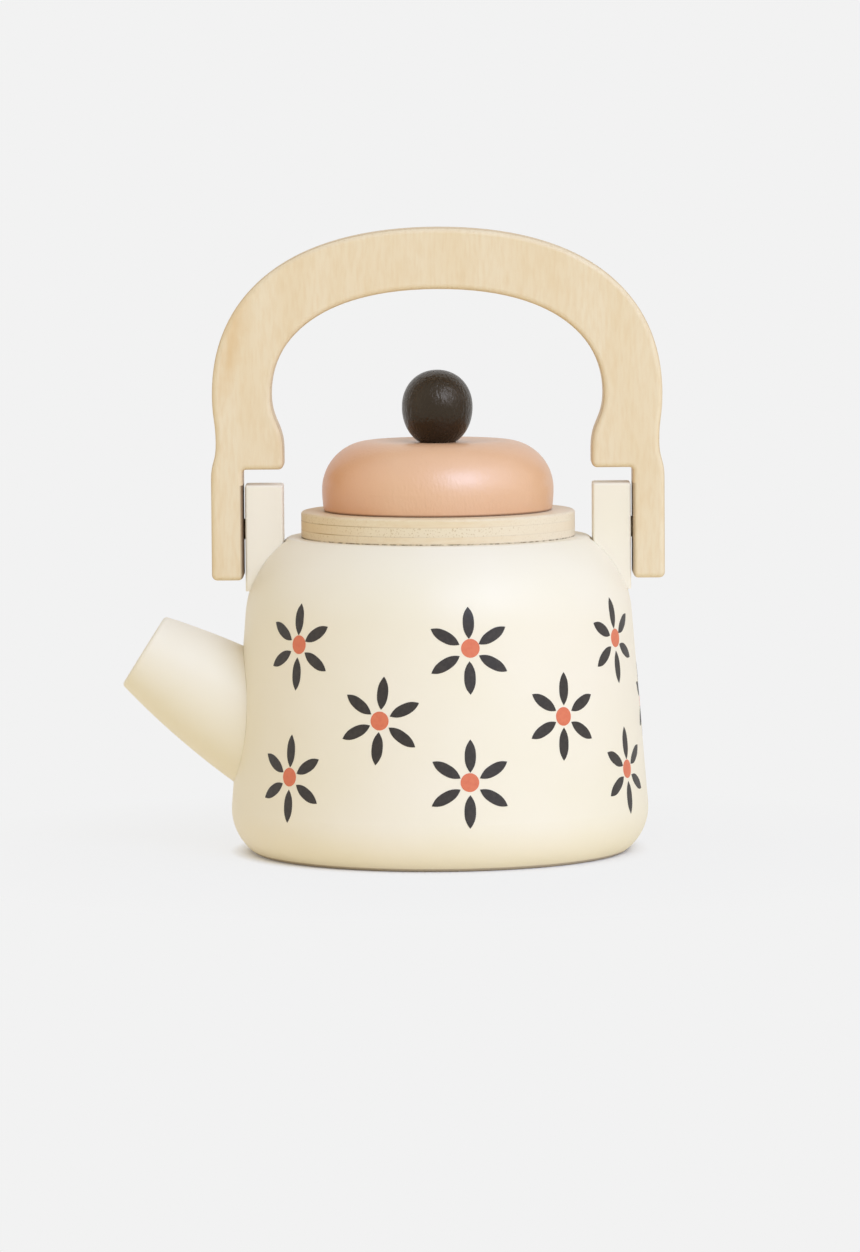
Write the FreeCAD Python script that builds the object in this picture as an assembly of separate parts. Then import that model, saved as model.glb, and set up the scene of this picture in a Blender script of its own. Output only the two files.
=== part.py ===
"""Wooden toy kettle with a swinging bail handle and a lift-off lid.

Millimetres, +Z up. The origin is the centre of the flat base, on the axis that the pot was
turned about. The spout points along -X, and the handle stands in the XZ plane and swings
about an axis along X. Every piece is wood: a turned and bored pot, a turned spout glued in
with its own tenon, a sawn plywood collar round the mouth, two uprights let into notches in
the shoulder, a bail sawn from one plywood board, and a turned lid with a ball knob.
"""

import FreeCAD
import Part
import math
import os

from FreeCAD import Vector

# The pot: a turned block, widest a little above its base, with a tapering side and a round
# shoulder that ends in a flat top.
body_height = 91.0
body_radius = 60.3
side_taper_deg = 4.6
shoulder_drop = 21.8
shoulder_width = 17.0
top_edge_radius = 1.0
base_curve_radius = 15.0
base_curve_cut = 2.5
base_edge_radius = 1.5
floor_thickness = 18.0
well_corner_radius = 2.0

# The collar: a plywood ring glued on the pot's flat top, reaching in over the well.
collar_inset = 3.8
collar_width = 13.5
collar_thickness = 7.5
collar_overhang = 4.0
collar_edge_radius = 0.8

# The lid: a turned dome whose spigot drops into the collar. Its crown is dished a little for
# the ball knob, which is drawn out below to a flat seat.
lid_inset = 6.1
lid_foot_inset = 0.5
lid_height = 20.15
lid_shoulder_radius = 14.0
lid_dish = 0.6
lid_edge_radius = 0.7
spigot_depth = 6.0
spigot_clearance = 0.5
spigot_edge_radius = 1.0
knob_radius = 10.2
knob_rise = 10.7
knob_drop = 11.6
knob_seat_cut = 1.35
knob_fullness = 0.58
knob_dowel_radius = 3.0
knob_dowel_length = 18.0

# The spout: a turned, slightly bowed cone on a slanting axis.
spout_slope_deg = 32.5
spout_root_height = 41.0
spout_length = 32.4
spout_tip_radius = 11.6
spout_heel_radius = 18.8
spout_heel_depth = 16.0
spout_bow = 1.3
spout_edge_radius = 1.2
tenon_radius = 9.0
tenon_depth = 13.0

# The uprights: two painted posts let into notches in the shoulder.
upright_inset = 4.8
upright_width = 11.0
upright_depth = 12.0
upright_seat_depth = 15.2
upright_head = 13.0
upright_edge_radius = 0.7
notch_gap = 0.8
notch_side_clearance = 0.1
upright_dowel_radius = 2.5
upright_dowel_length = 12.0
upright_dowel_rise = 5.5

# The handle: one sawn board, an arch on two legs that hang outside the uprights. What is
# called a rise, a head or a tail is counted from the pivot, and an inset from the legs' outside.
pivot_rise = 2.4
pivot_dowel_radius = 3.0
pivot_clearance = 0.06
pivot_dowel_seat = 8.5
pivot_dowel_recess = 0.2
handle_rise = 86.6
handle_thickness = 15.0
handle_edge_radius = 1.5
leg_gap = 0.55
leg_width = 9.15
leg_tail = 14.4
leg_head = 14.6
step_gap = 4.5
jaw_length = 5.1
jaw_overhang = 0.25
waist_rise = 24.9
waist_inset = 1.45
arch_spring_rise = 38.9
arch_inset = 0.5
arch_width = 16.95
arch_crown_width = 17.6
outer_crown_fullness = 0.66
outer_spring_fullness = 0.61
inner_crown_fullness = 0.74
inner_spring_fullness = 0.49
handle_corner_radius = 1.6
step_corner_radius = 1.0

glue_clearance = 0.05
overshoot = 10.0
match_tolerance = 0.01

# Radii and levels that several pieces share.
top_radius = body_radius - shoulder_width
collar_radius = top_radius - collar_inset
mouth_radius = collar_radius - collar_width
well_radius = mouth_radius + collar_overhang
lid_radius = collar_radius - lid_inset
collar_top = body_height + collar_thickness
lid_top = collar_top + lid_height
lid_seat = lid_top - lid_dish
upright_foot = body_height - upright_seat_depth
pivot_height = body_height + pivot_rise
upright_top = pivot_height + upright_head
upright_outer_face = body_radius - upright_inset
upright_inner_face = upright_outer_face - upright_width
leg_inner_face = upright_outer_face + leg_gap
leg_outer_face = leg_inner_face + leg_width
leg_bottom = pivot_height - leg_tail
step_height = upright_top + step_gap
jaw_face = upright_inner_face - jaw_overhang

AXIS_X = Vector(1, 0, 0)
AXIS_Y = Vector(0, 1, 0)
AXIS_Z = Vector(0, 0, 1)
ORIGIN = Vector(0, 0, 0)


def at(x, z):
    """A point of an outline drawn in the XZ plane."""
    return Vector(x, 0, z)


def line(start, end):
    return Part.LineSegment(start, end).toShape()


def arc(centre, radius, from_deg, to_deg):
    """An arc in the XZ plane, its angles counted from +X towards +Z."""
    angles = [math.radians(a) for a in (from_deg, (from_deg + to_deg) / 2, to_deg)]
    points = [centre + Vector(math.cos(a), 0, math.sin(a)) * radius for a in angles]
    return Part.Arc(*points).toShape()


def bezier(*poles):
    curve = Part.BezierCurve()
    curve.setPoles(list(poles))
    return curve.toShape()


def turned(edges):
    """The solid that an outline in the XZ plane sweeps when it turns about the Z axis."""
    face = Part.Face(Part.Wire(Part.__sortEdges__(edges)))
    return face.revolve(ORIGIN, AXIS_Z, 360)


def rounded(solid, radius, wanted):
    """The solid with the edges that pass the test rounded over."""
    edges = [edge for edge in solid.Edges if wanted(edge)]
    return solid.makeFillet(radius, edges)


def circle_at(height, radius):
    """A test for the round edge about the Z axis with that height and radius."""

    def wanted(edge):
        if edge.Degenerated or not isinstance(edge.Curve, Part.Circle):
            return False
        curve = edge.Curve
        same_radius = abs(curve.Radius - radius) < match_tolerance
        return same_radius and abs(curve.Center.z - height) < match_tolerance

    return wanted


def rod(radius, start, end):
    """A round rod from one point to another."""
    along = end - start
    return Part.makeCylinder(radius, along.Length, start, along)


def block(low, high):
    """A block between two opposite corners."""
    size = high - low
    return Part.makeBox(size.x, size.y, size.z, low)


# The pot's outline: flat base, base curve, tapered side, shoulder, flat top.
taper = math.radians(side_taper_deg)
side_inward = at(-math.cos(taper), -math.sin(taper))
widest_height = base_curve_radius - base_curve_cut
base_curve_centre = at(body_radius - base_curve_radius, widest_height)
base_curve_start_deg = -math.degrees(math.asin(widest_height / base_curve_radius))
base_flat_radius = base_curve_centre.x + math.sqrt(base_curve_radius**2 - widest_height**2)
side_foot = base_curve_centre - side_inward * base_curve_radius


def side_radius(height):
    """The radius of the pot's tapered side at a height."""
    return side_foot.x - (height - side_foot.z) * math.tan(taper)


# The shoulder is the arc that leaves the side smoothly and ends at the flat top's edge.
side_head = at(side_radius(body_height - shoulder_drop), body_height - shoulder_drop)
top_edge = at(top_radius, body_height)
shoulder_chord = top_edge - side_head
shoulder_radius = shoulder_chord.dot(shoulder_chord) / (2 * shoulder_chord.dot(side_inward))
shoulder_centre = side_head + side_inward * shoulder_radius
shoulder_reach = top_edge - shoulder_centre
shoulder_end_deg = math.degrees(math.atan2(shoulder_reach.z, shoulder_reach.x))


def pot_blank():
    """The pot as it comes off the lathe, before it is bored and notched."""
    blank = turned(
        [
            line(at(0, 0), at(base_flat_radius, 0)),
            arc(base_curve_centre, base_curve_radius, base_curve_start_deg, side_taper_deg),
            line(side_foot, side_head),
            arc(shoulder_centre, shoulder_radius, side_taper_deg, shoulder_end_deg),
            line(top_edge, at(0, body_height)),
            line(at(0, body_height), at(0, 0)),
        ]
    )
    blank = rounded(blank, top_edge_radius, circle_at(body_height, top_radius))
    return rounded(blank, base_edge_radius, circle_at(0, base_flat_radius))


def pot_well():
    """The bored well, with a small radius round its floor and open at the top."""
    corner_centre = at(well_radius - well_corner_radius, floor_thickness + well_corner_radius)
    mouth = body_height + overshoot
    return turned(
        [
            line(at(0, floor_thickness), at(corner_centre.x, floor_thickness)),
            arc(corner_centre, well_corner_radius, -90, 0),
            line(at(well_radius, corner_centre.z), at(well_radius, mouth)),
            line(at(well_radius, mouth), at(0, mouth)),
            line(at(0, mouth), at(0, floor_thickness)),
        ]
    )


# The spout's axis runs down from its tip to its root on the pot's side, and on into the wall.
spout_slope = math.radians(spout_slope_deg)
spout_root = at(-side_radius(spout_root_height), spout_root_height)
spout_inward = at(math.cos(spout_slope), -math.sin(spout_slope))
spout_tip = spout_root - spout_inward * spout_length
tenon_end = spout_root + spout_inward * tenon_depth
tenon_start = spout_root - spout_inward * (spout_length / 4)


def spout(blank):
    """The turned cone, coped to the pot's side, with its tenon."""
    heel = spout_length + spout_heel_depth
    middle = at((spout_tip_radius + spout_heel_radius) / 2 + spout_bow, heel / 2)
    flank = Part.Arc(at(spout_tip_radius, 0), middle, at(spout_heel_radius, heel)).toShape()
    cone = turned(
        [
            line(at(0, 0), at(spout_tip_radius, 0)),
            flank,
            line(at(spout_heel_radius, heel), at(0, heel)),
            line(at(0, heel), at(0, 0)),
        ]
    )
    cone = rounded(cone, spout_edge_radius, circle_at(0, spout_tip_radius))
    cone.Placement = FreeCAD.Placement(spout_tip, FreeCAD.Rotation(AXIS_Z, spout_inward))
    coped = cone.cut(blank)
    outside = max(coped.Solids, key=lambda solid: solid.Volume)
    return outside.fuse(rod(tenon_radius, tenon_start, tenon_end)).removeSplitter()


def spout_socket():
    socket_end = tenon_end + spout_inward * glue_clearance
    return rod(tenon_radius + glue_clearance, tenon_start, socket_end)


def notch(side):
    """The cut in the shoulder that an upright is let into; side is -1 or 1."""
    half_depth = upright_depth / 2 + notch_side_clearance
    inner = upright_inner_face - notch_gap
    outer = body_radius + overshoot
    low = Vector(min(side * inner, side * outer), -half_depth, upright_foot)
    high = Vector(max(side * inner, side * outer), half_depth, body_height + overshoot)
    return block(low, high)


# Each upright's hidden dowel runs from half way into the upright to the pot's wall.
upright_dowel_height = upright_foot + upright_dowel_rise
upright_dowel_outer = upright_inner_face + upright_width / 2
upright_dowel_inner = upright_dowel_outer - upright_dowel_length


def upright_dowel(side, extra=0.0):
    """The hidden dowel, or with extra the hole for it."""
    start = at(side * (upright_dowel_inner - extra), upright_dowel_height)
    end = at(side * (upright_dowel_outer + extra), upright_dowel_height)
    return rod(upright_dowel_radius + extra, start, end)


# The pivot dowels are glued in the uprights, and the legs turn on their outer ends.
pivot_dowel_inner = upright_outer_face - pivot_dowel_seat
pivot_dowel_outer = leg_outer_face - pivot_dowel_recess


def pivot_dowel(side):
    start = at(side * pivot_dowel_inner, pivot_height)
    return rod(pivot_dowel_radius, start, at(side * pivot_dowel_outer, pivot_height))


def pivot_seat(side):
    """The blind hole in an upright that its pivot dowel is glued into."""
    start = at(side * (pivot_dowel_inner - glue_clearance), pivot_height)
    end = at(side * (upright_outer_face + overshoot), pivot_height)
    return rod(pivot_dowel_radius + glue_clearance, start, end)


def pivot_bore(side):
    """The hole through a leg that turns on the pivot dowel."""
    start = at(side * (leg_inner_face - overshoot), pivot_height)
    end = at(side * (leg_outer_face + overshoot), pivot_height)
    return rod(pivot_dowel_radius + pivot_clearance, start, end)


def upright(side):
    half_depth = upright_depth / 2
    inner = side * upright_inner_face
    outer = side * upright_outer_face
    low = Vector(min(inner, outer), -half_depth, upright_foot)
    high = Vector(max(inner, outer), half_depth, upright_top)
    post = block(low, high)
    foot_level = upright_foot + match_tolerance
    post = rounded(post, upright_edge_radius, lambda edge: edge.BoundBox.ZMax > foot_level)
    return post.cut(pivot_seat(side)).cut(upright_dowel(side, glue_clearance))


def pot(blank):
    """The finished pot: bored, notched for the uprights and drilled for spout and dowels."""
    finished = blank.cut(pot_well()).cut(spout_socket())
    for side in (-1, 1):
        finished = finished.cut(notch(side)).cut(upright_dowel(side, glue_clearance))
    return finished


def collar():
    ring = turned(
        [
            line(at(mouth_radius, body_height), at(collar_radius, body_height)),
            line(at(collar_radius, body_height), at(collar_radius, collar_top)),
            line(at(collar_radius, collar_top), at(mouth_radius, collar_top)),
            line(at(mouth_radius, collar_top), at(mouth_radius, body_height)),
        ]
    )
    ring = rounded(ring, collar_edge_radius, circle_at(collar_top, collar_radius))
    return rounded(ring, collar_edge_radius, circle_at(collar_top, mouth_radius))


def knob_dowel(extra=0.0):
    """The dowel that joins knob and lid, or with extra the hole for it."""
    half = knob_dowel_length / 2 + extra
    return rod(knob_dowel_radius + extra, at(0, lid_seat - half), at(0, lid_seat + half))


def lid_blank():
    """The dome and its spigot, turned in one piece and not yet drilled."""
    spigot_radius = mouth_radius - spigot_clearance
    spigot_foot = collar_top - spigot_depth
    foot_radius = lid_radius - lid_foot_inset
    shoulder_x = lid_radius - lid_shoulder_radius
    shoulder_centre = at(shoulder_x, lid_top - lid_shoulder_radius)
    # The dish is the arc through the seat that meets the shoulder smoothly.
    seat_rise = lid_seat - shoulder_centre.z
    dish_radius = (shoulder_x**2 + seat_rise**2 - lid_shoulder_radius**2) / (2 * lid_dish)
    dish_centre = at(0, lid_seat + dish_radius)
    dish_edge_deg = math.degrees(math.asin(shoulder_x / (dish_radius + lid_shoulder_radius)))
    waist = at(lid_radius, (collar_top + shoulder_centre.z) / 2)
    dome = turned(
        [
            line(at(0, spigot_foot), at(spigot_radius, spigot_foot)),
            line(at(spigot_radius, spigot_foot), at(spigot_radius, collar_top)),
            line(at(spigot_radius, collar_top), at(foot_radius, collar_top)),
            bezier(at(foot_radius, collar_top), waist, at(lid_radius, shoulder_centre.z)),
            arc(shoulder_centre, lid_shoulder_radius, 0, 90 + dish_edge_deg),
            arc(dish_centre, dish_radius, dish_edge_deg - 90, -90),
            line(at(0, lid_seat), at(0, spigot_foot)),
        ]
    )
    dome = rounded(dome, lid_edge_radius, circle_at(collar_top, foot_radius))
    return rounded(dome, spigot_edge_radius, circle_at(spigot_foot, spigot_radius))


def arch(half_width, top, spring, crown_fullness, spring_fullness):
    """One half of an arch from its crown to its spring; a fullness of 0.55 each is an ellipse."""
    return bezier(
        at(0, top),
        at(half_width * crown_fullness, top),
        at(half_width, spring + (top - spring) * spring_fullness),
        at(half_width, spring),
    )


def knob(blank):
    """A ball, a little taller than wide, whose drawn-out foot is cut to sit in the lid's dish."""
    middle = lid_seat + knob_drop - knob_seat_cut
    top = middle + knob_rise
    bottom = middle - knob_drop
    ball = turned(
        [
            arch(knob_radius, top, middle, knob_fullness, knob_fullness),
            arch(knob_radius, bottom, middle, knob_fullness, knob_fullness),
            line(at(0, top), at(0, bottom)),
        ]
    )
    return ball.cut(blank).cut(knob_dowel(glue_clearance))


def ogee(x_from, z_from, x_to, z_to):
    """A shallow S that leaves and arrives upright."""
    middle = (z_from + z_to) / 2
    return bezier(at(x_from, z_from), at(x_from, middle), at(x_to, middle), at(x_to, z_to))


def handle_half():
    """The right half of the handle's outline, from the outer crown to the inner crown."""
    leg_top = pivot_height + leg_head
    waist = pivot_height + waist_rise
    spring = pivot_height + arch_spring_rise
    crown = pivot_height + handle_rise
    jaw_top = step_height + jaw_length
    waist_x = leg_outer_face - waist_inset
    arch_outer = leg_outer_face - arch_inset
    arch_inner = arch_outer - arch_width
    inner_crown = crown - arch_crown_width
    return [
        arch(arch_outer, crown, spring, outer_crown_fullness, outer_spring_fullness),
        ogee(arch_outer, spring, waist_x, waist),
        ogee(waist_x, waist, leg_outer_face, leg_top),
        line(at(leg_outer_face, leg_top), at(leg_outer_face, leg_bottom)),
        line(at(leg_outer_face, leg_bottom), at(leg_inner_face, leg_bottom)),
        line(at(leg_inner_face, leg_bottom), at(leg_inner_face, step_height)),
        line(at(leg_inner_face, step_height), at(jaw_face, step_height)),
        line(at(jaw_face, step_height), at(jaw_face, jaw_top)),
        ogee(jaw_face, jaw_top, arch_inner, spring),
        arch(arch_inner, inner_crown, spring, inner_crown_fullness, inner_spring_fullness),
    ]


def handle():
    """The board sawn to its outline, its corners eased and its edges rounded over."""
    half = handle_half()
    mirrored = [edge.mirror(ORIGIN, AXIS_X) for edge in half]
    outline = Part.Wire(Part.__sortEdges__(half + mirrored))
    face = Part.Face(outline)
    face.translate(AXIS_Y * (-handle_thickness / 2))
    board = face.extrude(AXIS_Y * handle_thickness)

    def crosses(edge, x, z):
        """Whether an edge runs through the board at that place of either half."""
        box = edge.BoundBox
        through = box.YLength > handle_thickness - match_tolerance
        beside = abs(abs(box.Center.x) - x) < match_tolerance
        return through and beside and abs(box.Center.z - z) < match_tolerance

    def is_outside_corner(edge):
        corners = [(leg_outer_face, leg_bottom), (leg_inner_face, leg_bottom), (jaw_face, step_height)]
        return any(crosses(edge, x, z) for x, z in corners)

    def lies_in_a_face(edge):
        return edge.BoundBox.YLength < match_tolerance

    board = rounded(board, handle_corner_radius, is_outside_corner)
    board = rounded(board, step_corner_radius, lambda edge: crosses(edge, leg_inner_face, step_height))
    board = rounded(board, handle_edge_radius, lies_in_a_face)
    return board.cut(pivot_bore(-1)).cut(pivot_bore(1))


def save(name, shape):
    """Writes one piece to its own file and says how many solids it has."""
    shape.exportStep(f"parts/{name}.step")
    print(f"{name}: {len(shape.Solids)} solid, valid {shape.isValid()}, {shape.Volume / 1000:.2f} cm3")


def main():
    os.makedirs("parts", exist_ok=True)
    blank = pot_blank()
    save("kettle_body", pot(blank))
    save("spout", spout(blank))
    save("collar_ring", collar())
    for name, side in (("left", -1), ("right", 1)):
        save(f"{name}_upright", upright(side))
        save(f"{name}_upright_dowel", upright_dowel(side))
        save(f"{name}_pivot_dowel", pivot_dowel(side))
    save("handle", handle())
    lid_turning = lid_blank()
    save("lid", lid_turning.cut(knob_dowel(glue_clearance)))
    save("knob", knob(lid_turning))
    save("knob_dowel", knob_dowel())


main()
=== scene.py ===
"""The finish of a wooden toy kettle: paint, plywood, printed flowers, floor, light and camera.

Metres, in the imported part's own frame: +Z up from the base, the spout towards -X, and the
viewer on the -Y side. The turned and sawn pieces come from the frame as they are and get their
materials here. The only new pieces on the kettle are the flowers printed round the pot.
"""

import math

import bmesh
import bpy
from mathutils import Matrix, Vector


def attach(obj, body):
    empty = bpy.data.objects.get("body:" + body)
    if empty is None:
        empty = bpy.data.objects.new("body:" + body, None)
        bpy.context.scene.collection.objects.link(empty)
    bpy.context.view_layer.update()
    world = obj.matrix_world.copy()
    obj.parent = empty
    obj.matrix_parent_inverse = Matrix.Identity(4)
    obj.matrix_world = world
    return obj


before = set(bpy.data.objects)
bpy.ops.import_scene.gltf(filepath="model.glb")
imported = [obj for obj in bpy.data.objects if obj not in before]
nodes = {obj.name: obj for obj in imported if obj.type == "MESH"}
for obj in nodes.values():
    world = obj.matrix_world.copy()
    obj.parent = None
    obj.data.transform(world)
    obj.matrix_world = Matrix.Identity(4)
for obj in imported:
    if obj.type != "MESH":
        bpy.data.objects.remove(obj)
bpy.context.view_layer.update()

MM = 0.001

# The photo's frame, and where the middle of the kettle's base lies in it.
IMAGE_HEIGHT_PX = 1252
FOCAL_LENGTH_PX = 6250
CAMERA_DISTANCE = 1.8
CAMERA_HEIGHT = 0.219
CAMERA_PITCH_DEG = 4.893
CAMERA_YAW_DEG = 0.081
CAMERA_ROLL_DEG = 0.42

# The print: three rows of six-petalled flowers, evenly spaced about the side opposite the
# spout. For each row its height, its middle flower's angle in degrees, how far its dots slipped
# sideways and up, and for each flower its own slip along the row and its own turn, in degrees.
PRINT_ROWS = (
    (
        62.8 * MM,
        0.0,
        (0.35 * MM, 0.5 * MM),
        ((0.2, -0.6), (-0.2, 0.6), (0.0, 2.9), (0.3, -2.0), (0.0, 3.0), (-0.3, 1.0)),
    ),
    (
        43.0 * MM,
        1.4,
        (-0.1 * MM, 0.0),
        ((0.0, -5.0), (0.0, -3.6), (0.4, 1.0), (-0.3, 2.0), (0.0, -1.0)),
    ),
    (
        25.4 * MM,
        -0.6,
        (-0.1 * MM, 0.4 * MM),
        ((0.0, -0.4), (0.0, -1.1), (2.2, 0.5), (0.0, 2.0), (-0.4, 0.0), (0.3, 3.0)),
    ),
)
PRINT_PITCH_DEG = 54.1
PETAL_COUNT = 6
PETAL_START = 3.15 * MM
PETAL_LENGTH = 9.4 * MM
PETAL_WIDTH = 3.25 * MM
PETAL_FULLNESS = 2.5
DOT_RADIUS = 2.65 * MM
INK_DEPTH = 0.02 * MM
INK_HEIGHT = 0.06 * MM

# The plies of the two boards, and the levels that they are counted from. A board's outer plies
# are sanded thinner than the others, so the first level lies a little outside the board.
HANDLE_PLY = 1.5 * MM
HANDLE_FIRST_PLY = -8.25 * MM
RING_PLY = 2.65 * MM
RING_FIRST_PLY = 90.6 * MM

# Just outside the well's bored side and just under its floor.
WELL_REACH = 30.6 * MM
WELL_FLOOR = 17 * MM

# Background, paints and bare wood, as sRGB.
BACKGROUND = "F2F2F2"
CREAM = "F6EEDC"
DEEP_CREAM = "F4ECD6"


def corners(node):
    """The lowest and the highest corner of one piece's box."""
    places = [vertex.co for vertex in nodes[node].data.vertices]
    return [Vector([end(place[axis] for place in places) for axis in range(3)]) for end in (min, max)]


# Places on the pieces where a finish changes, taken from the pieces themselves.
RING_FOOT = corners("collar_ring")[0].z
LID_FOOT = corners("collar_ring")[1].z
UPRIGHT_TOP = corners("right_upright")[1].z
LEG_INNER_FACE = min(abs(v.co.x) for v in nodes["handle"].data.vertices if v.co.z < UPRIGHT_TOP)


def linear(hex_colour):
    """An sRGB hex colour as the linear colour that a socket takes."""
    channels = [int(hex_colour[i : i + 2], 16) / 255 for i in (0, 2, 4)]
    return [c / 12.92 if c <= 0.04045 else ((c + 0.055) / 1.055) ** 2.4 for c in channels] + [1.0]


def per_mm(size_mm):
    """The texture scale whose features are about that many millimetres wide."""
    return 1000 / size_mm


def add(tree, kind, inputs=None, **settings):
    """Adds a node with its settings; each input is given a value or linked to an output."""
    node = tree.nodes.new(kind)
    for name, value in settings.items():
        setattr(node, name, value)
    for name, value in (inputs or {}).items():
        if isinstance(value, bpy.types.NodeSocket):
            tree.links.new(value, node.inputs[name])
        else:
            node.inputs[name].default_value = value
    return node


# Inputs and output of a colour mix, which Blender numbers because their names repeat.
MIX_A, MIX_B, MIX_OUT = 6, 7, 2


def new_material(name):
    """An empty material with its surface shader, and Object coordinates to draw patterns on."""
    material = bpy.data.materials.new(name)
    material.use_nodes = True
    tree = material.node_tree
    tree.nodes.clear()
    shader = add(tree, "ShaderNodeBsdfPrincipled")
    add(tree, "ShaderNodeOutputMaterial", {"Surface": shader.outputs["BSDF"]})
    place = add(tree, "ShaderNodeTexCoord").outputs["Object"]
    return material, tree, shader, place


def blended(tree, place, finish, tint, axis, full_at, none_at, share=1.0):
    """A finish that goes over to a tint along an axis: its full share at one place, none at another."""
    axes = add(tree, "ShaderNodeSeparateXYZ", {"Vector": place})
    factor = add(
        tree,
        "ShaderNodeMapRange",
        {
            "Value": axes.outputs[axis],
            "From Min": full_at,
            "From Max": none_at,
            "To Min": share,
            "To Max": 0.0,
        },
    )
    mixed = add(
        tree,
        "ShaderNodeMix",
        {"Factor": factor.outputs["Result"], MIX_A: finish, MIX_B: linear(tint)},
        data_type="RGBA",
    )
    return mixed.outputs[MIX_OUT]


def bare_beech(tree, place):
    """The turned blank's own wood, where no paint was sprayed: tan, with long fine fibres."""
    grain = add(tree, "ShaderNodeMapping", {"Vector": place, "Scale": (1.0, 1.0, 0.08)})
    fibres = add(
        tree,
        "ShaderNodeTexNoise",
        {"Vector": grain.outputs[0], "Scale": per_mm(1.1), "Detail": 4.0},
    )
    beech = add(
        tree,
        "ShaderNodeMix",
        {"Factor": fibres.outputs["Fac"], MIX_A: linear("E6CFA4"), MIX_B: linear("D2B384")},
        data_type="RGBA",
    )
    return beech.outputs[MIX_OUT]


def bare_well_and_painted_foot_shade(tree, place, finish):
    """The well's bare wood, and painted shade on the base's rim: its lowest millimetre goes grey, for the
    shadow where the pot stands.
    """
    axes = add(tree, "ShaderNodeSeparateXYZ", {"Vector": place})
    flat = add(tree, "ShaderNodeCombineXYZ", {"X": axes.outputs["X"], "Y": axes.outputs["Y"]})
    reach = add(tree, "ShaderNodeVectorMath", {0: flat.outputs["Vector"]}, operation="LENGTH")
    near = add(tree, "ShaderNodeMath", {0: reach.outputs["Value"], 1: WELL_REACH}, operation="LESS_THAN")
    high = add(tree, "ShaderNodeMath", {0: axes.outputs["Z"], 1: WELL_FLOOR}, operation="GREATER_THAN")
    inside = add(tree, "ShaderNodeMath", {0: near.outputs[0], 1: high.outputs[0]}, operation="MULTIPLY")
    bored = add(
        tree,
        "ShaderNodeMix",
        {"Factor": inside.outputs[0], MIX_A: finish, MIX_B: bare_beech(tree, place)},
        data_type="RGBA",
    )
    # Painted shade: the bottom of the pot turns grey, standing in for the shadow at the table.
    return blended(
        tree, place, bored.outputs[MIX_OUT], "BDAF9D", "Z", full_at=0.75 * MM, none_at=1.1 * MM, share=0.95
    )


def lid_painted_shade_and_bare_spigot(tree, place, finish):
    """Painted shade on the lid: a deeper left side, the shade side, and a dark line at its foot for the shade
    in the joint; and bare wood underneath.
    """
    # Painted shade: the left side goes deeper and more saturated, as it lies in shade.
    finish = blended(tree, place, finish, "D8905A", "X", full_at=-34 * MM, none_at=-12 * MM, share=0.8)
    # Painted shade: a dark line along the lid's lowest edge, for the shadow in the joint on the ring.
    line_top = LID_FOOT + 0.8 * MM
    line_full = LID_FOOT + 0.35 * MM
    finish = blended(tree, place, finish, "5E2C08", "Z", full_at=line_full, none_at=line_top, share=0.7)
    axes = add(tree, "ShaderNodeSeparateXYZ", {"Vector": place})
    coat_end = LID_FOOT - 0.2 * MM
    under = add(tree, "ShaderNodeMath", {0: axes.outputs["Z"], 1: coat_end}, operation="LESS_THAN")
    bared = add(
        tree,
        "ShaderNodeMix",
        {"Factor": under.outputs[0], MIX_A: finish, MIX_B: bare_beech(tree, place)},
        data_type="RGBA",
    )
    return bared.outputs[MIX_OUT]


def paint_on_turned_wood(
    name, colour, deep_colour, rough=(0.40, 0.52), relief=0.02 * MM, gloss=None, marks=None
):
    """Satin water-based paint, sprayed on a turned blank and rubbed down between coats.

    The eye gets a soft, broad highlight that the peel and the grain below break up a little, and
    a colour that clouds from coat to coat. Marks are what the paint leaves bare, and painted shade
    where less light falls.
    """
    material, tree, shader, place = new_material(name)
    clouds = add(tree, "ShaderNodeTexNoise", {"Vector": place, "Scale": per_mm(38), "Detail": 2.0})
    cloud = add(
        tree,
        "ShaderNodeMapRange",
        {"Value": clouds.outputs["Fac"], "From Min": 0.35, "From Max": 0.7},
    )
    coat = add(
        tree,
        "ShaderNodeMix",
        {"Factor": cloud.outputs["Result"], MIX_A: linear(colour), MIX_B: linear(deep_colour)},
        data_type="RGBA",
    )
    finish = coat.outputs[MIX_OUT]
    if marks:
        finish = marks(tree, place, finish)
    tree.links.new(finish, shader.inputs["Base Color"])

    sheen = add(tree, "ShaderNodeTexNoise", {"Vector": place, "Scale": per_mm(6), "Detail": 3.0})
    sheen_range = add(
        tree,
        "ShaderNodeMapRange",
        {"Value": sheen.outputs["Fac"], "To Min": rough[0], "To Max": rough[1]},
    )
    tree.links.new(sheen_range.outputs["Result"], shader.inputs["Roughness"])

    # Spray paint's peel and the grain under it are about 0.5 mm wide; they are drawn at 0.8 mm.
    stretched = add(tree, "ShaderNodeMapping", {"Vector": place, "Scale": (1.0, 1.0, 0.45)})
    peel = add(
        tree,
        "ShaderNodeTexNoise",
        {"Vector": stretched.outputs[0], "Scale": per_mm(0.8), "Detail": 3.0},
    )
    bump = add(
        tree,
        "ShaderNodeBump",
        {"Height": peel.outputs["Fac"], "Distance": relief, "Strength": 0.35},
    )
    tree.links.new(bump.outputs["Normal"], shader.inputs["Normal"])

    shader.inputs["IOR"].default_value = 1.48
    for socket, value in (gloss or {}).items():
        shader.inputs[socket].default_value = value
    return material


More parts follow.
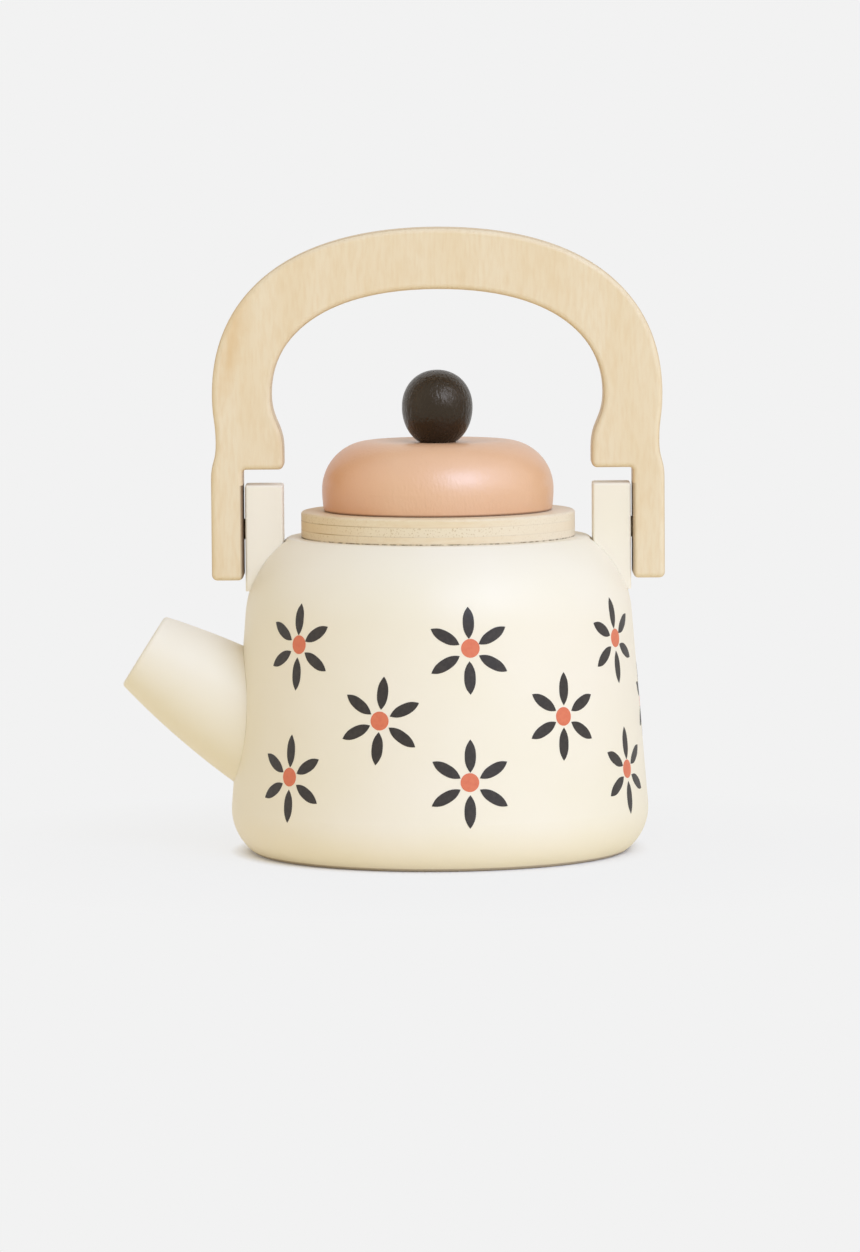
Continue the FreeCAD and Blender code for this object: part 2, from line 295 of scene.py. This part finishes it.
def birch_veneer(tree, place, along):
    """Sliced birch, its grain running along one axis: its colour, and its fibres for the bump."""
    stretch = [1.0, 1.0, 1.0]
    stretch["XYZ".index(along)] = 0.17
    grain = add(tree, "ShaderNodeMapping", {"Vector": place, "Scale": stretch}).outputs[0]
    clouds = add(tree, "ShaderNodeTexNoise", {"Vector": grain, "Scale": per_mm(9), "Detail": 2.0})
    cloud = add(
        tree,
        "ShaderNodeMapRange",
        {"Value": clouds.outputs["Fac"], "From Min": 0.35, "From Max": 0.65},
    )
    base = add(
        tree,
        "ShaderNodeMix",
        {"Factor": cloud.outputs["Result"], MIX_A: linear("ECDBBA"), MIX_B: linear("E9D5B0")},
        data_type="RGBA",
    )
    # The finest fibres are about 0.3 mm apart; they are drawn at 0.9 mm so that they show.
    fibres = add(tree, "ShaderNodeTexNoise", {"Vector": grain, "Scale": per_mm(0.9), "Detail": 4.0})
    fibre = add(
        tree,
        "ShaderNodeMapRange",
        {"Value": fibres.outputs["Fac"], "From Min": 0.4, "From Max": 0.75, "To Min": 0.0, "To Max": 0.42},
    )
    fibrous = add(
        tree,
        "ShaderNodeMix",
        {"Factor": fibre.outputs["Result"], MIX_A: base.outputs[MIX_OUT], MIX_B: linear("DFC293")},
        data_type="RGBA",
    )
    return fibrous.outputs[MIX_OUT], fibres.outputs["Fac"]


def birch_end_grain(tree, place):
    """Birch cut across its fibres: a shade duller, with dark open pores."""
    pores = add(tree, "ShaderNodeTexNoise", {"Vector": place, "Scale": per_mm(0.5), "Detail": 2.0})
    pore = add(
        tree,
        "ShaderNodeMapRange",
        {"Value": pores.outputs["Fac"], "From Min": 0.57, "From Max": 0.70},
    )
    cut = add(
        tree,
        "ShaderNodeMix",
        {"Factor": pore.outputs["Result"], MIX_A: linear("EBDCBE"), MIX_B: linear("CDB68C")},
        data_type="RGBA",
    )
    return cut.outputs[MIX_OUT]


def shoulder_streak(tree, place, finish):
    """A tan streak along the grain of the handle's left shoulder."""
    # The streak is a long oval that leans with the shoulder; the map turns it to a unit circle.
    oval = add(
        tree,
        "ShaderNodeMapping",
        {
            "Vector": place,
            "Location": (-58.7 * MM, 0.0, 147 * MM),
            "Rotation": (0.0, math.radians(10.8), 0.0),
            "Scale": (3.0 * MM, 1.0, 19 * MM),
        },
        vector_type="TEXTURE",
    )
    reach = add(tree, "ShaderNodeVectorMath", {0: oval.outputs[0]}, operation="LENGTH")
    ragged = add(tree, "ShaderNodeTexNoise", {"Vector": place, "Scale": per_mm(4), "Detail": 3.0})
    frayed = add(
        tree,
        "ShaderNodeMath",
        {0: reach.outputs["Value"], 1: ragged.outputs["Fac"]},
        operation="ADD",
    )
    streak = add(
        tree,
        "ShaderNodeMapRange",
        {"Value": frayed.outputs[0], "From Min": 0.6, "From Max": 1.7, "To Min": 0.55, "To Max": 0.0},
    )
    tanned = add(
        tree,
        "ShaderNodeMix",
        {"Factor": streak.outputs["Result"], MIX_A: finish, MIX_B: linear("DDB87F")},
        data_type="RGBA",
    )
    return tanned.outputs[MIX_OUT]


def painted_gap_shade(tree, place, finish):
    """Painted shade in the gaps: brown on the legs' inner faces beside the uprights, more on the left."""
    axes = add(tree, "ShaderNodeSeparateXYZ", {"Vector": place})
    aside = add(tree, "ShaderNodeMath", {0: axes.outputs["X"]}, operation="ABSOLUTE")
    below = add(tree, "ShaderNodeMath", {0: axes.outputs["Z"], 1: UPRIGHT_TOP}, operation="LESS_THAN")
    cheek = add(
        tree,
        "ShaderNodeMapRange",
        {
            "Value": aside.outputs[0],
            "From Min": LEG_INNER_FACE + 0.3 * MM,
            "From Max": LEG_INNER_FACE + 1.0 * MM,
            "To Min": 1.0,
            "To Max": 0.0,
        },
    )
    side = add(
        tree,
        "ShaderNodeMapRange",
        {"Value": axes.outputs["X"], "From Min": -10 * MM, "From Max": 10 * MM, "To Min": 0.9, "To Max": 0.4},
    )
    # Painted shade in the gap between each leg and its upright, deeper on the left, the shade side.
    low = add(tree, "ShaderNodeMath", {0: cheek.outputs[0], 1: below.outputs[0]}, operation="MULTIPLY")
    gap_shade_share = add(tree, "ShaderNodeMath", {0: low.outputs[0], 1: side.outputs[0]}, operation="MULTIPLY")
    gap_shaded = add(
        tree,
        "ShaderNodeMix",
        {"Factor": gap_shade_share.outputs[0], MIX_A: finish, MIX_B: linear("5A3D20")},
        data_type="RGBA",
    )
    return gap_shaded.outputs[MIX_OUT]


def handle_marks(tree, place, finish):
    return painted_gap_shade(tree, place, shoulder_streak(tree, place, finish))


def glue_thread_and_joint_shade(tree, place, finish):
    """The squeezed-out glue under the ring, a thread of dark beads, and painted shade that runs it solid on
    the left side.
    """
    axes = add(tree, "ShaderNodeSeparateXYZ", {"Vector": place})
    low = add(
        tree,
        "ShaderNodeMapRange",
        {
            "Value": axes.outputs["Z"],
            "From Min": RING_FOOT + 0.25 * MM,
            "From Max": RING_FOOT + 0.45 * MM,
            "To Min": 1.0,
            "To Max": 0.0,
        },
    )
    beads = add(tree, "ShaderNodeTexNoise", {"Vector": place, "Scale": per_mm(1.3), "Detail": 2.0})
    bead = add(
        tree,
        "ShaderNodeMapRange",
        {"Value": beads.outputs["Fac"], "From Min": 0.4, "From Max": 0.6, "To Min": 0.2, "To Max": 0.8},
    )
    # Painted shade: on the left side the line runs solid, for the shade in the joint there.
    shaded_left = add(
        tree,
        "ShaderNodeMapRange",
        {
            "Value": axes.outputs["X"],
            "From Min": -39 * MM,
            "From Max": -32 * MM,
            "To Min": 1.0,
            "To Max": 0.0,
        },
    )
    share = add(tree, "ShaderNodeMath", {0: bead.outputs[0], 1: shaded_left.outputs[0]}, operation="MAXIMUM")
    thread = add(tree, "ShaderNodeMath", {0: share.outputs[0], 1: low.outputs[0]}, operation="MULTIPLY")
    glued = add(
        tree,
        "ShaderNodeMix",
        {"Factor": thread.outputs[0], MIX_A: finish, MIX_B: linear("5F4A1C")},
        data_type="RGBA",
    )
    return glued.outputs[MIX_OUT]


def ring_painted_light_and_glue(tree, place, finish):
    """Painted shade and light across the ring, tan on its left and pale on its right, and the glue under it.
    """
    # Painted shade on the left side and painted light on the right side, where the lamps are.
    finish = blended(tree, place, finish, "C99B5B", "X", full_at=-47 * MM, none_at=-18 * MM, share=0.38)
    finish = blended(tree, place, finish, "F5EBDA", "X", full_at=42 * MM, none_at=5 * MM, share=0.5)
    return glue_thread_and_joint_shade(tree, place, finish)


def end_on(tree, facing, wood, end_grain):
    """A ply's wood, which gives way to end grain where its surface faces along its fibres."""
    squared = add(tree, "ShaderNodeMath", {0: facing, 1: 2.0}, operation="POWER")
    ply = add(
        tree,
        "ShaderNodeMix",
        {"Factor": squared.outputs[0], MIX_A: wood, MIX_B: end_grain},
        data_type="RGBA",
    )
    return ply.outputs[MIX_OUT]


def laid_in_turn(tree, count, long_ply, cross_ply):
    """The two kinds of ply by turns, long-grained and crossed, as the count of plies goes up."""
    half = add(tree, "ShaderNodeMath", {0: count, 1: 0.5}, operation="MULTIPLY")
    phase = add(tree, "ShaderNodeMath", {0: half.outputs[0]}, operation="FRACT")
    crossed = add(tree, "ShaderNodeMath", {0: phase.outputs[0], 1: 0.5}, operation="GREATER_THAN")
    wood = add(
        tree,
        "ShaderNodeMix",
        {"Factor": crossed.outputs[0], MIX_A: long_ply, MIX_B: cross_ply},
        data_type="RGBA",
    )
    return wood.outputs[MIX_OUT]


def glue_lines(tree, place, count, finish, share, full_at, faint_at):
    """Brown glue between the plies, which fades in and out along the edge as the sanding leaves it."""
    within = add(tree, "ShaderNodeMath", {0: count}, operation="FRACT")
    glue = add(
        tree,
        "ShaderNodeMapRange",
        {"Value": within.outputs[0], "From Min": 0.04, "From Max": 0.14, "To Min": 1.0, "To Max": 0.0},
    )
    patches = add(tree, "ShaderNodeTexNoise", {"Vector": place, "Scale": per_mm(12), "Detail": 1.0})
    patch = add(
        tree,
        "ShaderNodeMapRange",
        {"Value": patches.outputs["Fac"], "From Min": 0.35, "From Max": 0.6, "To Max": share},
    )
    axes = add(tree, "ShaderNodeSeparateXYZ", {"Vector": place})
    side = add(
        tree,
        "ShaderNodeMapRange",
        {
            "Value": axes.outputs["X"],
            "From Min": full_at,
            "From Max": faint_at,
            "To Min": 1.0,
            "To Max": 0.2,
        },
    )
    shown = add(tree, "ShaderNodeMath", {0: glue.outputs[0], 1: side.outputs[0]}, operation="MULTIPLY")
    line = add(tree, "ShaderNodeMath", {0: shown.outputs[0], 1: patch.outputs[0]}, operation="MULTIPLY")
    glued = add(
        tree,
        "ShaderNodeMix",
        {"Factor": line.outputs[0], MIX_A: finish, MIX_B: linear("A07E48")},
        data_type="RGBA",
    )
    return glued.outputs[MIX_OUT]


def burnished_outline(tree, facing, finish):
    """A darker outline where a board's sanded faces turn over into its burnished sawn edges."""
    flat = add(tree, "ShaderNodeMath", {0: facing, 1: 2.0}, operation="POWER")
    outline = add(
        tree,
        "ShaderNodeMapRange",
        {"Value": flat.outputs[0], "From Min": 0.05, "From Max": 0.5, "To Min": 0.3, "To Max": 0.0},
    )
    burnished = add(
        tree,
        "ShaderNodeMix",
        {"Factor": outline.outputs["Result"], MIX_A: finish, MIX_B: linear("C49A5E")},
        data_type="RGBA",
    )
    return burnished.outputs[MIX_OUT]


def birch_plywood(name, stacked, grain, ply, first_ply, glue, marks, burnished=False):
    """Sanded birch plywood under a clear satin lacquer, its plies stacked along one axis.

    The faces show a pale veneer with long soft streaks. The sawn edges show the stack: each ply
    long-grained or end on, as its own grain meets the edge, with a brown glue line between. Glue
    is how much of those lines shows, and the places along X where they are full and faint.
    """
    material, tree, shader, place = new_material(name)
    cross = next(axis for axis in "XYZ" if axis not in (stacked, grain))
    axes = add(tree, "ShaderNodeSeparateXYZ", {"Vector": place})
    normal = add(tree, "ShaderNodeTexCoord").outputs["Normal"]
    facing = add(tree, "ShaderNodeSeparateXYZ", {"Vector": normal})
    depth = add(tree, "ShaderNodeMath", {0: axes.outputs[stacked], 1: first_ply}, operation="SUBTRACT")
    count = add(tree, "ShaderNodeMath", {0: depth.outputs[0], 1: ply}, operation="DIVIDE").outputs[0]

    long_veneer, fibres = birch_veneer(tree, place, grain)
    cross_veneer = birch_veneer(tree, place, cross)[0]
    end_grain = birch_end_grain(tree, place)
    long_ply = end_on(tree, facing.outputs[grain], long_veneer, end_grain)
    cross_ply = end_on(tree, facing.outputs[cross], cross_veneer, end_grain)
    finish = laid_in_turn(tree, count, long_ply, cross_ply)
    finish = glue_lines(tree, place, count, finish, *glue)
    if burnished:
        finish = burnished_outline(tree, facing.outputs[stacked], finish)
    tree.links.new(marks(tree, place, finish), shader.inputs["Base Color"])

    bump = add(tree, "ShaderNodeBump", {"Height": fibres, "Distance": 0.03 * MM, "Strength": 0.5})
    tree.links.new(bump.outputs["Normal"], shader.inputs["Normal"])
    shader.inputs["Roughness"].default_value = 0.5
    shader.inputs["IOR"].default_value = 1.5
    return material


def dress(node, material):
    """Gives one piece of the frame its finish."""
    nodes[node].data.materials.clear()
    nodes[node].data.materials.append(material)


cream_paint = paint_on_turned_wood("cream satin paint on turned wood", CREAM, DEEP_CREAM)
pot_paint = paint_on_turned_wood(
    "cream satin paint on a bored pot", CREAM, DEEP_CREAM, marks=bare_well_and_painted_foot_shade
)
pink_paint = paint_on_turned_wood(
    "dusty pink satin paint on turned wood",
    "E6B68C",
    "E2AF83",
    rough=(0.42, 0.5),
    relief=0.35 * MM,
    gloss={"IOR": 1.6, "Specular IOR Level": 1.0, "Coat Weight": 0.3, "Coat Roughness": 0.25},
    marks=lid_painted_shade_and_bare_spigot,
)
black_paint = paint_on_turned_wood(
    "charcoal satin stain on a turned bead",
    "221B14",
    "19130D",
    rough=(0.22, 0.33),
    relief=1.0 * MM,
    gloss={"Specular IOR Level": 0.62, "Specular Tint": linear("F6DEC0")},
)
# The handle's glue lines are about as strong all along, and the ring's show on its left side.
handle_ply = birch_plywood(
    "lacquered birch plywood board",
    stacked="Y",
    grain="Z",
    ply=HANDLE_PLY,
    first_ply=HANDLE_FIRST_PLY,
    glue=(0.7, -70 * MM, 300 * MM),
    marks=handle_marks,
    burnished=True,
)
ring_ply = birch_plywood(
    "lacquered birch plywood ring",
    stacked="Z",
    grain="X",
    ply=RING_PLY,
    first_ply=RING_FIRST_PLY,
    glue=(0.9, -26 * MM, -6 * MM),
    marks=ring_painted_light_and_glue,
)

for node in ("spout", "left_upright", "right_upright"):
    dress(node, cream_paint)
dress("kettle_body", pot_paint)
dress("collar_ring", ring_ply)
dress("handle", handle_ply)
dress("lid", pink_paint)
dress("knob", black_paint)
for node in nodes:
    if node.endswith("dowel"):
        dress(node, handle_ply)


def printing_ink(name, colour, thin_colour):
    """Pad-printed ink: flat and satin, a trace thinner and paler in places."""
    material, tree, shader, place = new_material(name)
    mottle = add(tree, "ShaderNodeTexNoise", {"Vector": place, "Scale": per_mm(1.2), "Detail": 3.0})
    share = add(
        tree,
        "ShaderNodeMapRange",
        {"Value": mottle.outputs["Fac"], "From Min": 0.4, "From Max": 0.75},
    )
    ink = add(
        tree,
        "ShaderNodeMix",
        {"Factor": share.outputs["Result"], MIX_A: linear(colour), MIX_B: linear(thin_colour)},
        data_type="RGBA",
    )
    tree.links.new(ink.outputs[MIX_OUT], shader.inputs["Base Color"])
    shader.inputs["Roughness"].default_value = 0.5
    return material


def pick(piece, wanted):
    """Selects, in edit mode, the vertices whose place passes the test."""
    mesh = bmesh.from_edit_mesh(piece.data)
    for vertex in mesh.verts:
        vertex.select = wanted(vertex.co)
    mesh.select_flush(True)
    bmesh.update_edit_mesh(piece.data)


def petal():
    """One flat petal along +X: a fine grid drawn in to a pointed lens.

    Each row of the grid is drawn in by its share of the way from the middle to a tip, raised to
    the petal's fullness: 2 would make each side an arc, and more makes it blunter.
    """
    bpy.ops.object.select_all(action="DESELECT")
    bpy.ops.mesh.primitive_grid_add(x_subdivisions=14, y_subdivisions=4, size=1)
    piece = bpy.context.object
    piece.scale = (PETAL_LENGTH, PETAL_WIDTH, 1)
    piece.location = (PETAL_START + PETAL_LENGTH / 2, 0, 0)
    bpy.ops.object.transform_apply(location=True, rotation=True, scale=True)
    rows = sorted({round(vertex.co.x, 7) for vertex in piece.data.vertices})
    bpy.ops.object.mode_set(mode="EDIT")
    for row in rows:
        share = abs(2 * (row - PETAL_START) / PETAL_LENGTH - 1)
        width = max(1 - share**PETAL_FULLNESS, 0.0)
        pick(piece, lambda place: abs(place.x - row) < PETAL_LENGTH / 100)
        bpy.ops.transform.resize(value=(1, width, 1), center_override=(0, 0, 0))
    bpy.ops.mesh.select_all(action="SELECT")
    bpy.ops.mesh.remove_doubles(threshold=0.01 * MM)
    bpy.ops.object.mode_set(mode="OBJECT")
    return piece


def dot():
    """The flat dot in a flower's middle: a circle filled in rings, so that it can bend."""
    bpy.ops.object.select_all(action="DESELECT")
    bpy.ops.mesh.primitive_circle_add(vertices=36, radius=DOT_RADIUS, fill_type="NGON")
    piece = bpy.context.object
    bpy.ops.object.mode_set(mode="EDIT")
    bpy.ops.mesh.select_all(action="SELECT")
    for ring in range(3):
        bpy.ops.mesh.inset(thickness=DOT_RADIUS / 4)
    bpy.ops.mesh.poke()
    bpy.ops.object.mode_set(mode="OBJECT")
    return piece


def placed_copy(piece, matrix):
    """A copy of a flat piece, with its own mesh, moved by a matrix."""
    copy = piece.copy()
    copy.data = piece.data.copy()
    copy.data.transform(matrix)
    bpy.context.collection.objects.link(copy)
    return copy


def joined(pieces, name):
    """Several pieces as one, its first piece's name replaced."""
    bpy.ops.object.select_all(action="DESELECT")
    for piece in pieces:
        piece.select_set(True)
    bpy.context.view_layer.objects.active = pieces[0]
    bpy.ops.object.join()
    pieces[0].name = name
    return pieces[0]


def flower_places(slips):
    """For each flower, the matrix from its flat drawing to its place on the pot's side.

    The petals are turned as their flower is; the dots, printed after them, take their row's slip.
    """
    outside = 0.2
    for height, middle_deg, (slip_aside, slip_up), flowers in PRINT_ROWS:
        for index, (slip_deg, turn_deg) in enumerate(flowers):
            step_deg = (index - (len(flowers) - 1) / 2) * PRINT_PITCH_DEG
            angle = math.radians(middle_deg + step_deg + slip_deg)
            outward = Vector((math.cos(angle), math.sin(angle), 0))
            start = outward * outside + Vector((0, 0, height))
            spot = nodes["kettle_body"].ray_cast(start, -outward)[1]
            across = Vector((-outward.y, outward.x, 0))
            up = outward.cross(across)
            facing = Matrix((across, up, outward)).transposed().to_4x4()
            turned = Matrix.Rotation(math.radians(turn_deg), 4, "Z")
            slipped = Matrix.Translation((slip_aside, slip_up, 0))
            yield Matrix.Translation(spot) @ facing @ (slipped if slips else turned)


def printed(flat, name, material, slips=False):
    """The flat drawing copied to every flower, laid on the pot's side and given its thickness."""
    piece = joined([placed_copy(flat, place) for place in flower_places(slips)], name)
    bpy.data.objects.remove(flat)
    wrap = piece.modifiers.new("lay on the pot", "SHRINKWRAP")
    wrap.target = nodes["kettle_body"]
    wrap.wrap_method = "NEAREST_SURFACEPOINT"
    wrap.wrap_mode = "ABOVE_SURFACE"
    wrap.offset = -INK_DEPTH
    bpy.ops.object.modifier_apply(modifier=wrap.name)
    ink = piece.modifiers.new("ink", "SOLIDIFY")
    ink.thickness = INK_HEIGHT + INK_DEPTH
    ink.offset = 1
    bpy.ops.object.modifier_apply(modifier=ink.name)
    bpy.ops.object.shade_smooth_by_angle(angle=math.radians(40))
    piece.data.materials.clear()
    piece.data.materials.append(material)
    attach(piece, "pot_group")
    return piece


first_petal = petal()
petals = [
    placed_copy(first_petal, Matrix.Rotation(math.radians(90 + 360 / PETAL_COUNT * k), 4, "Z"))
    for k in range(PETAL_COUNT)
]
bpy.data.objects.remove(first_petal)
charcoal_ink = printing_ink("charcoal printing ink", "2B241E", "3A322B")
coral_ink = printing_ink("coral printing ink", "E07B58", "DA7152")
printed(joined(petals, "flower"), "printed_petals", charcoal_ink)
printed(dot(), "printed_dots", coral_ink, slips=True)


def background_rays(tree):
    """One for the rays that show the background: straight, mirrored and through glass."""
    rays = add(tree, "ShaderNodeLightPath")
    straight = add(
        tree,
        "ShaderNodeMath",
        {0: rays.outputs["Is Camera Ray"], 1: rays.outputs["Is Glossy Ray"]},
        operation="MAXIMUM",
    )
    through = add(
        tree,
        "ShaderNodeMath",
        {0: straight.outputs[0], 1: rays.outputs["Is Transmission Ray"]},
        operation="MAXIMUM",
    )
    return through.outputs[0]


def pale_table_top():
    """A matt pale table top that runs out into the background and keeps the kettle's shadow.

    What is seen of it is mostly the background's own even tone, and its lit surface only near
    the kettle. What it throws back up at the kettle is warm, and further out it also glows a
    little: painted bounce light on the kettle's lower side.
    """
    material = bpy.data.materials.new("pale matt table top")
    material.use_nodes = True
    tree = material.node_tree
    tree.nodes.clear()
    place = add(tree, "ShaderNodeTexCoord").outputs["Object"]
    reach = add(tree, "ShaderNodeVectorMath", {0: place}, operation="LENGTH").outputs["Value"]

    # Under the base nearly all of the shadow is kept; further out it thins into the background.
    share = add(
        tree,
        "ShaderNodeMapRange",
        {"Value": reach, "From Min": 55 * MM, "From Max": 61 * MM, "To Min": 0.9, "To Max": 0.12},
    )
    fade = add(
        tree,
        "ShaderNodeMapRange",
        {"Value": reach, "From Min": 60 * MM, "From Max": 160 * MM, "To Min": 1.0, "To Max": 0.0},
    )
    kept = add(tree, "ShaderNodeMath", {0: share.outputs[0], 1: fade.outputs[0]}, operation="MULTIPLY")
    lit = add(tree, "ShaderNodeBsdfDiffuse", {"Color": linear(BACKGROUND)})
    even = add(tree, "ShaderNodeEmission", {"Color": linear(BACKGROUND)})
    seen = add(
        tree,
        "ShaderNodeMixShader",
        {0: kept.outputs[0], 1: even.outputs[0], 2: lit.outputs[0]},
    )

    matt = add(tree, "ShaderNodeBsdfDiffuse", {"Color": linear("F3E9CB")})
    # For rays that reach the kettle the top is matt, and beyond the base it glows a little: painted bounce
    # light.
    strength = add(
        tree,
        "ShaderNodeMapRange",
        {"Value": reach, "From Min": 52 * MM, "From Max": 66 * MM, "To Min": 0.0, "To Max": 0.13},
    )
    painted_bounce_glow = add(
        tree,
        "ShaderNodeEmission",
        {"Color": linear("FFF0D2"), "Strength": strength.outputs["Result"]},
    )
    bounce = add(tree, "ShaderNodeAddShader", {0: matt.outputs[0], 1: painted_bounce_glow.outputs[0]})
    both = add(
        tree,
        "ShaderNodeMixShader",
        {0: background_rays(tree), 1: bounce.outputs[0], 2: seen.outputs[0]},
    )
    add(tree, "ShaderNodeOutputMaterial", {"Surface": both.outputs[0]})
    return material


def table_top():
    bpy.ops.object.select_all(action="DESELECT")
    bpy.ops.mesh.primitive_plane_add(size=12)
    floor = bpy.context.object
    floor.name = "table_top"
    floor.data.materials.append(pale_table_top())


def studio_world():
    """An even pale room: the background as the camera sees it, and a softer light on the kettle."""
    world = bpy.data.worlds.new("studio")
    bpy.context.scene.world = world
    world.use_nodes = True
    tree = world.node_tree
    tree.nodes.clear()
    room = add(tree, "ShaderNodeBackground", {"Color": linear("FFF8EC"), "Strength": 0.595})
    backdrop = add(tree, "ShaderNodeBackground", {"Color": linear(BACKGROUND), "Strength": 1.0})
    both = add(
        tree,
        "ShaderNodeMixShader",
        {0: background_rays(tree), 1: room.outputs[0], 2: backdrop.outputs[0]},
    )
    add(tree, "ShaderNodeOutputWorld", {"Surface": both.outputs[0]})


def soft_lamp(name, turn_deg, rise_deg, distance, size, watts, colour):
    """A square soft box that faces the kettle; its turn is counted from the viewer towards +X."""
    turn = math.radians(turn_deg)
    rise = math.radians(rise_deg)
    target = Vector((0, 0, 90 * MM))
    level = Vector((math.sin(turn), -math.cos(turn), 0))
    away = level * math.cos(rise) + Vector((0, 0, math.sin(rise)))
    lamp = bpy.data.lights.new(name, "AREA")
    lamp.size = size
    lamp.energy = watts
    lamp.color = linear(colour)[:3]
    holder = bpy.data.objects.new(name, lamp)
    holder.location = target + away * distance
    holder.rotation_euler = away.to_track_quat("Z", "Y").to_euler()
    bpy.context.collection.objects.link(holder)


def photo_camera():
    """The photo's own view: the camera stands back on the -Y side and looks a little down."""
    camera = bpy.data.cameras.new("camera")
    camera.sensor_width = 36
    camera.lens = FOCAL_LENGTH_PX / IMAGE_HEIGHT_PX * camera.sensor_width
    holder = bpy.data.objects.new("camera", camera)
    turn = Matrix.Rotation(math.radians(CAMERA_YAW_DEG), 4, "Z")
    tilt = Matrix.Rotation(math.radians(90 - CAMERA_PITCH_DEG), 4, "X")
    lean = Matrix.Rotation(math.radians(-CAMERA_ROLL_DEG), 4, "Z")
    stand = Matrix.Translation((0, -CAMERA_DISTANCE, CAMERA_HEIGHT))
    holder.matrix_world = stand @ turn @ tilt @ lean
    bpy.context.collection.objects.link(holder)
    bpy.context.scene.camera = holder


table_top()
studio_world()
soft_lamp("key", 28, 34, 2.8, 1.4, 42.0, "C2D6FF")
soft_lamp("side window", 60, 30, 2.8, 2.2, 13.0, "D6E2FF")
soft_lamp("left fill", -80, 15, 2.0, 2.4, 3.2, "FFEFD8")
photo_camera()
bpy.context.scene.view_settings.view_transform = "Standard"
